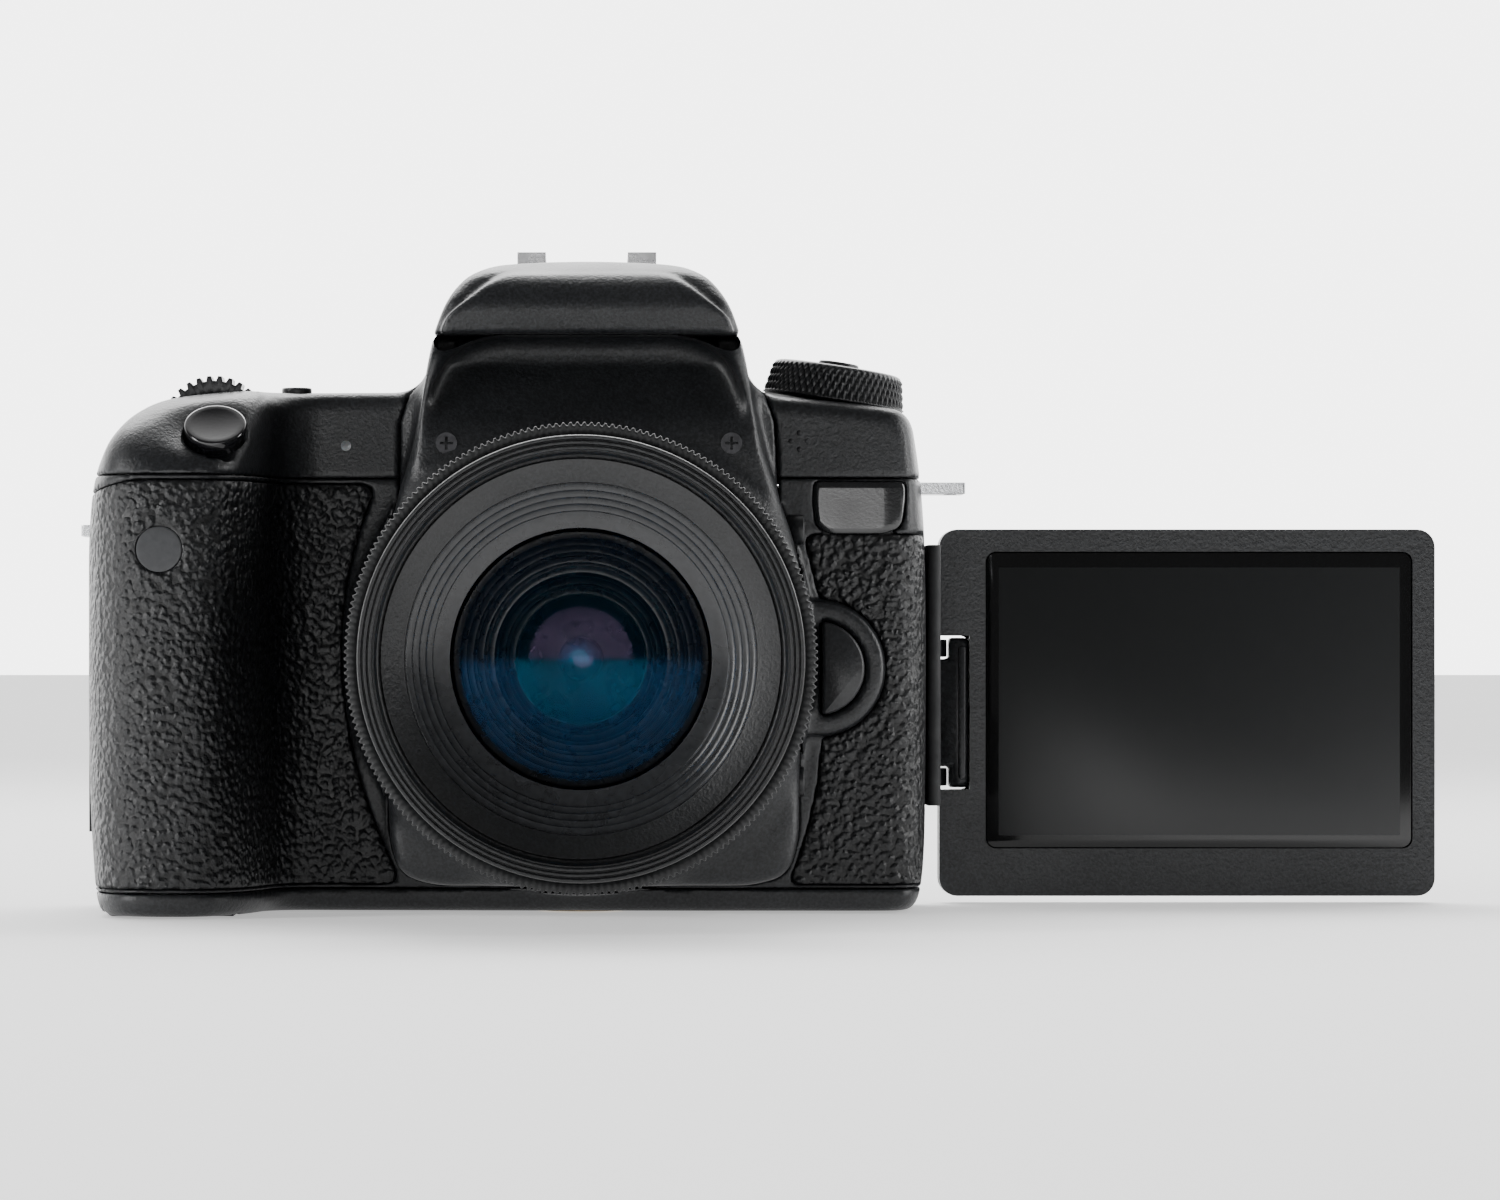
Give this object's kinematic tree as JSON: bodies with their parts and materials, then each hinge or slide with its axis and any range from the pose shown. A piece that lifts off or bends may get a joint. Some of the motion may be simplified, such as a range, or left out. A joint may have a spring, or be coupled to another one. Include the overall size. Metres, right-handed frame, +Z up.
{
  "type": "dslr camera",
  "caption": "Single-lens reflex camera with a kit zoom lens, pop-up flash, dials, doors and a side-hinged screen swung open to face forwards.",
  "frame": {"origin": "mouth of the tripod socket in the base, straight under the lens axis", "axes": "+X to the viewer's right when facing the lens, +Y from the lens to the back, +Z up"},
  "size_m": [0.213, 0.1273, 0.1011],
  "materials": {
    "cover_plastic": "fine speckled matt moulding",
    "grip_leather": "leather-grain rubber",
    "soft_rubber": "smooth matt rubber",
    "button_plastic": "satin button",
    "gloss_black": "glossy black",
    "lens_plastic": "satin lens barrel",
    "ring_rubber": "ribbed rubber",
    "steel": "bright plate",
    "chrome_plate": "polished",
    "screw_black": "black oxide",
    "brass_bush": "turned",
    "optical_glass": "coated",
    "mirror_glass": "front surface mirror",
    "frame_metal": "pressed plate",
    "board_green": "circuit board",
    "battery_case": "matt",
    "display_glass": "glossy cover",
    "lamp_window": "translucent",
    "lamp_clear": "ribbed clear",
    "badge_gloss": "polished dark plate",
    "status_glass": "grey display"
  },
  "bodies": {
    "camera_body": {"badge_plate": "badge_gloss", "battery": "battery_case", "bottom_cover": "cover_plastic", "chassis_frame": "frame_metal", "cover_screws": "screw_black", "eyecup": "soft_rubber", "front_cover": "cover_plastic", "front_windows": "lamp_window", "grip_rubber": "grip_leather", "hot_shoe": "steel", "lens_mount_ring": "steel", "lens_panel": "cover_plastic", "mirror_box": "lens_plastic", "rear_cover": "cover_plastic", "rubber_pads": "grip_leather", "sensor_board": "board_green", "shutter_frame": "frame_metal", "status_display": "status_glass", "strap_lugs": "chrome_plate", "top_cover": "cover_plastic", "tripod_socket": "brass_bush", "viewfinder_optics": "optical_glass"},
    "screen_arm": {"hinge_arm": "cover_plastic"},
    "screen": {"screen_back": "cover_plastic", "screen_bezel": "cover_plastic", "screen_display": "display_glass"},
    "flash": {"flash_head": "cover_plastic", "flash_lens": "lamp_clear"},
    "main_dial_body": {"main_dial": "button_plastic"},
    "mode_dial_body": {"mode_dial": "button_plastic"},
    "mode_lock": {"mode_lock_button": "gloss_black"},
    "power_switch_body": {"power_switch": "button_plastic"},
    "control_dial_body": {"control_dial": "button_plastic"},
    "control_pad_body": {"control_pad": "button_plastic"},
    "set_button_body": {"set_button": "button_plastic"},
    "dioptre_knob_body": {"dioptre_knob": "button_plastic"},
    "shutter_button_body": {"shutter_button": "gloss_black"},
    "menu_button_body": {"menu_button": "button_plastic"},
    "info_button_body": {"info_button": "button_plastic"},
    "live_view_button_body": {"live_view_button": "button_plastic"},
    "af_on_button_body": {"af_on_button": "button_plastic"},
    "playback_button_body": {"playback_button": "button_plastic"},
    "display_light_button_body": {"display_light_button": "button_plastic"},
    "flash_button_body": {"flash_button": "button_plastic"},
    "preview_button_body": {"preview_button": "button_plastic"},
    "lens_release_body": {"lens_release_button": "button_plastic"},
    "battery_door_body": {"battery_door": "cover_plastic"},
    "battery_latch_body": {"battery_latch": "button_plastic"},
    "card_door_body": {"card_door": "cover_plastic"},
    "terminal_cover_front_body": {"terminal_cover_front": "soft_rubber"},
    "terminal_cover_rear_body": {"terminal_cover_rear": "soft_rubber"},
    "mirror": {"reflex_mirror": "mirror_glass"},
    "shutter_blade": {"shutter_curtain": "frame_metal"},
    "lens": {"lens_barrel": "lens_plastic"},
    "zoom": {"zoom_ring": "ring_rubber"},
    "front": {"front_group": "lens_plastic", "front_glass": "optical_glass"},
    "focus": {"focus_ring": "ring_rubber"},
    "focus_switch_body": {"focus_switch": "button_plastic"},
    "stabilizer_switch_body": {"stabilizer_switch": "button_plastic"}
  },
  "joints": [
    {"name": "screen_swing", "type": "hinge", "parent": "camera_body", "child": "screen_arm", "pos_m": [0.055, 0.0325, 0.03], "axis": [0, 0, 1], "range_deg": [0, 180]},
    {"name": "screen_tilt", "type": "hinge", "parent": "screen_arm", "child": "screen", "pos_m": [0.0614, 0.0325, 0.03], "axis": [1, 0, 0], "range_deg": [-270, 0]},
    {"name": "flash_lift", "type": "hinge", "parent": "camera_body", "child": "flash", "pos_m": [0.0009, 0.006, 0.09], "axis": [-1, 0, 0], "range_deg": [0, 70]},
    {"name": "main_dial_turn", "type": "hinge", "parent": "camera_body", "child": "main_dial_body", "pos_m": [-0.0555, -0.0095, 0.0734], "axis": [0, 1, 0], "continuous": true},
    {"name": "mode_dial_turn", "type": "hinge", "parent": "camera_body", "child": "mode_dial_body", "pos_m": [0.0388, 0.004, 0.07767], "axis": [0.1532, 0, 0.9882], "continuous": true},
    {"name": "mode_lock_press", "type": "slide", "parent": "mode_dial_body", "child": "mode_lock", "axis": [-0.1532, 0, -0.9882], "range_m": [0, 0.0008], "stiffness_N_per_m": 400},
    {"name": "power_switch_turn", "type": "hinge", "parent": "camera_body", "child": "power_switch_body", "pos_m": [0.0388, 0.0215, 0.07767], "axis": [0.1532, 0, 0.9882], "range_deg": [-25, 25]},
    {"name": "control_dial_turn", "type": "hinge", "parent": "camera_body", "child": "control_dial_body", "pos_m": [-0.0505, 0.031, 0.029], "axis": [0, 1, 0], "continuous": true},
    {"name": "control_pad_press", "type": "slide", "parent": "camera_body", "child": "control_pad_body", "axis": [0, -1, 0], "range_m": [0, 0.0004], "stiffness_N_per_m": 400},
    {"name": "set_press", "type": "slide", "parent": "camera_body", "child": "set_button_body", "axis": [0, -1, 0], "range_m": [0, 0.0005], "stiffness_N_per_m": 400},
    {"name": "dioptre_turn", "type": "hinge", "parent": "camera_body", "child": "dioptre_knob_body", "pos_m": [-0.0211, 0.034, 0.0795], "axis": [0, 1, 0], "range_deg": [-100, 100]},
    {"name": "shutter_press", "type": "slide", "parent": "camera_body", "child": "shutter_button_body", "axis": [0, 0.6494, -0.7604], "range_m": [0, 0.0014], "stiffness_N_per_m": 400},
    {"name": "menu_press", "type": "slide", "parent": "camera_body", "child": "menu_button_body", "axis": [0, -1, 0], "range_m": [0, 0.0006], "stiffness_N_per_m": 400},
    {"name": "info_press", "type": "slide", "parent": "camera_body", "child": "info_button_body", "axis": [0, -1, 0], "range_m": [0, 0.0006], "stiffness_N_per_m": 400},
    {"name": "live_view_press", "type": "slide", "parent": "camera_body", "child": "live_view_button_body", "axis": [0, -1, 0], "range_m": [0, 0.0006], "stiffness_N_per_m": 400},
    {"name": "af_on_press", "type": "slide", "parent": "camera_body", "child": "af_on_button_body", "axis": [0, -1, 0], "range_m": [0, 0.0006], "stiffness_N_per_m": 400},
    {"name": "playback_press", "type": "slide", "parent": "camera_body", "child": "playback_button_body", "axis": [0, -1, 0], "range_m": [0, 0.0006], "stiffness_N_per_m": 400},
    {"name": "display_light_press", "type": "slide", "parent": "camera_body", "child": "display_light_button_body", "axis": [0, 0, -1], "range_m": [0, 0.0006], "stiffness_N_per_m": 400},
    {"name": "flash_press", "type": "slide", "parent": "camera_body", "child": "flash_button_body", "axis": [-1, 0, 0], "range_m": [0, 0.0006], "stiffness_N_per_m": 400},
    {"name": "preview_press", "type": "slide", "parent": "camera_body", "child": "preview_button_body", "axis": [-1, 0, 0], "range_m": [0, 0.0006], "stiffness_N_per_m": 400},
    {"name": "lens_release_press", "type": "slide", "parent": "camera_body", "child": "lens_release_body", "axis": [0, 1, 0], "range_m": [0, 0.002], "stiffness_N_per_m": 400},
    {"name": "battery_door_swing", "type": "hinge", "parent": "camera_body", "child": "battery_door_body", "pos_m": [-0.07, -0.022, 0.001], "axis": [0, 1, 0], "range_deg": [0, 85]},
    {"name": "battery_latch_slide", "type": "slide", "parent": "battery_door_body", "child": "battery_latch_body", "axis": [-1, 0, 0], "range_m": [0, 0.002], "stiffness_N_per_m": 400},
    {"name": "card_door_swing", "type": "hinge", "parent": "camera_body", "child": "card_door_body", "pos_m": [-0.0745, 0.021, 0.012], "axis": [0, 0, -1], "range_deg": [0, 95]},
    {"name": "terminal_cover_front_swing", "type": "hinge", "parent": "camera_body", "child": "terminal_cover_front_body", "pos_m": [0.0542, -0.0006, 0.016], "axis": [0, 0, -1], "range_deg": [0, 95]},
    {"name": "terminal_cover_rear_swing", "type": "hinge", "parent": "camera_body", "child": "terminal_cover_rear_body", "pos_m": [0.0542, 0.0122, 0.016], "axis": [0, 0, -1], "range_deg": [0, 95]},
    {"name": "mirror_flip", "type": "hinge", "parent": "camera_body", "child": "mirror", "pos_m": [0, 0.0078, 0.0559], "axis": [-1, 0, 0], "range_deg": [0, 45], "stiffness_Nm_per_rad": 0.01},
    {"name": "shutter_run", "type": "slide", "parent": "camera_body", "child": "shutter_blade", "axis": [0, 0, -1], "range_m": [0, 0.024]},
    {"name": "lens_twist", "type": "hinge", "parent": "camera_body", "child": "lens", "pos_m": [0, -0.024, 0.0385], "axis": [0, -1, 0], "range_deg": [0, 60]},
    {"name": "zoom_turn", "type": "hinge", "parent": "lens", "child": "zoom", "pos_m": [0, -0.044, 0.0385], "axis": [0, 1, 0], "range_deg": [0, 80]},
    {"name": "zoom_extend", "type": "slide", "parent": "lens", "child": "front", "axis": [0, -1, 0], "range_m": [0, 0.02]},
    {"name": "focus_turn", "type": "hinge", "parent": "lens", "child": "focus", "pos_m": [0, -0.074, 0.0385], "axis": [0, 1, 0], "continuous": true},
    {"name": "focus_switch_slide", "type": "slide", "parent": "lens", "child": "focus_switch_body", "axis": [0, 1, 0], "range_m": [0, 0.0045]},
    {"name": "stabilizer_switch_slide", "type": "slide", "parent": "lens", "child": "stabilizer_switch_body", "axis": [0, 1, 0], "range_m": [0, 0.0045]}
  ],
  "couplings": [
    {"joint": "zoom_extend", "follows": "zoom_turn", "m_per_rad": 0.014324}
  ]
}
